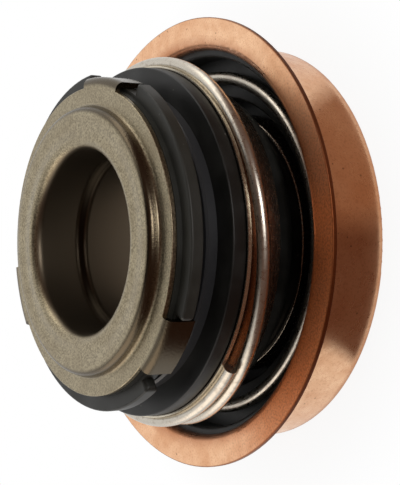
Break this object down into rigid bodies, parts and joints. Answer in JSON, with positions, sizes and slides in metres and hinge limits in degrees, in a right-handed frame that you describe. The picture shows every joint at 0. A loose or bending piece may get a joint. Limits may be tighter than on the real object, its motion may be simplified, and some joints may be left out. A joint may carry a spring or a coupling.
{
  "type": "mechanical shaft seal",
  "caption": "Unitised face seal for a pump shaft: flanged copper-plated case, coil spring, rubber bellows with carbon ring, and a rotating seat on a stamped drive sleeve.",
  "frame": {"origin": "centre of the case floor's outside", "axes": "+Z along the shaft axis, towards the rotating seat and drive sleeve; +X through one drive tab"},
  "size_m": [0.043, 0.043, 0.0204],
  "materials": {
    "copper_plated_steel": "satin copper plating",
    "liner_rubber": "glossy moulded",
    "stainless_sheet": "cold rolled",
    "spring_wire": "drawn and polished",
    "bellows_rubber": "satin moulded",
    "carbon_graphite": "turned and lapped",
    "silicon_carbide": "ground and lapped",
    "cup_rubber": "matt moulded",
    "satin_stainless": "fine blasted"
  },
  "bodies": {
    "stationary": {"case": "copper_plated_steel", "case_liner": "liner_rubber", "tail_band": "stainless_sheet", "spring": "spring_wire"},
    "head": {"bellows": "bellows_rubber", "ferrule": "stainless_sheet", "carbon_ring": "carbon_graphite"},
    "rotor": {"seat_ring": "silicon_carbide", "seat_cup": "cup_rubber", "drive_sleeve": "satin_stainless"}
  },
  "joints": [
    {"name": "head_slide", "type": "slide", "parent": "stationary", "child": "head", "axis": [0, 0, 1], "range_m": [-0.0015, 0], "stiffness_N_per_m": 2000, "springref_m": 0.006, "deforming": ["spring", "bellows"]},
    {"name": "rotor_spin", "type": "hinge", "parent": "head", "child": "rotor", "pos_m": [0, 0, 0.0163], "axis": [0, 0, 1], "continuous": true}
  ]
}
